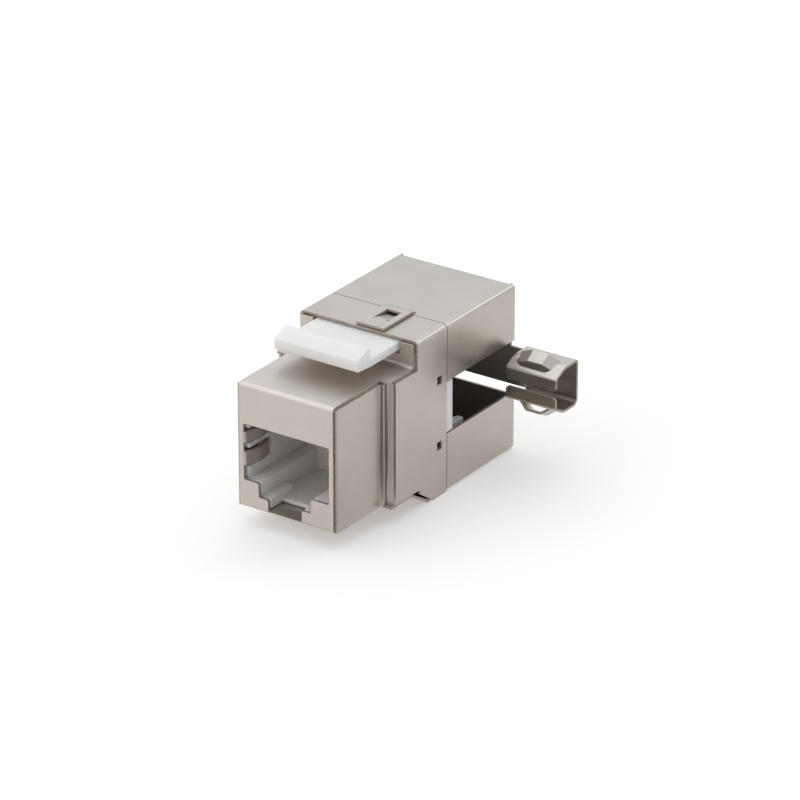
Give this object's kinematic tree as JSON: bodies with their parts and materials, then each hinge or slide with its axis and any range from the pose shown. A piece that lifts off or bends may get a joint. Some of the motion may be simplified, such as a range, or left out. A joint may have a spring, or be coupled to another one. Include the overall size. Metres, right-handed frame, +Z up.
{
  "type": "keystone jack",
  "caption": "Shielded snap-in modular jack: folded sheet shields, contact port, spring latch, slide-off rear cover with a side mouth, and a folded cable clip.",
  "frame": {"origin": "centre of the port opening, in the plane of the front face", "axes": "+Y from the front face to the rear, +Z up towards the latch, +X towards the cable clip"},
  "size_m": [0.0265, 0.0362, 0.0232],
  "materials": {
    "front_plate": "satin tin plating",
    "body_plate": "satin tin plating",
    "cover_plate": "satin tin plating",
    "housing_plastic": "moulded, fine matt",
    "latch_plastic": "moulded, smooth",
    "insert_plastic": "moulded",
    "board_laminate": "solder mask",
    "block_plastic": "moulded",
    "contact_gold": "gold plated",
    "blade_metal": "tin plated"
  },
  "bodies": {
    "jack": {"front_shield": "front_plate", "body_shield": "body_plate", "jack_housing": "housing_plastic", "contact_insert": "insert_plastic", "circuit_board": "board_laminate", "terminal_block": "block_plastic", "contact_wire_1": "contact_gold", "contact_wire_2": "contact_gold", "contact_wire_3": "contact_gold", "contact_wire_4": "contact_gold", "contact_wire_5": "contact_gold", "contact_wire_6": "contact_gold", "contact_wire_7": "contact_gold", "contact_wire_8": "contact_gold", "terminal_blade_1": "blade_metal", "terminal_blade_2": "blade_metal", "terminal_blade_3": "blade_metal", "terminal_blade_4": "blade_metal", "terminal_blade_5": "blade_metal", "terminal_blade_6": "blade_metal", "terminal_blade_7": "blade_metal", "terminal_blade_8": "blade_metal"},
    "latch": {"latch_arm": "latch_plastic"},
    "cover": {"rear_cover": "cover_plate"}
  },
  "joints": [
    {"name": "latch_press", "type": "hinge", "parent": "jack", "child": "latch", "pos_m": [0, 0.0156, 0.01142], "axis": [1, 0, 0], "range_deg": [0, 11], "stiffness_Nm_per_rad": 0.2},
    {"name": "cover_slide", "type": "slide", "parent": "jack", "child": "cover", "axis": [0, 1, 0], "range_m": [0, 0.016]}
  ]
}
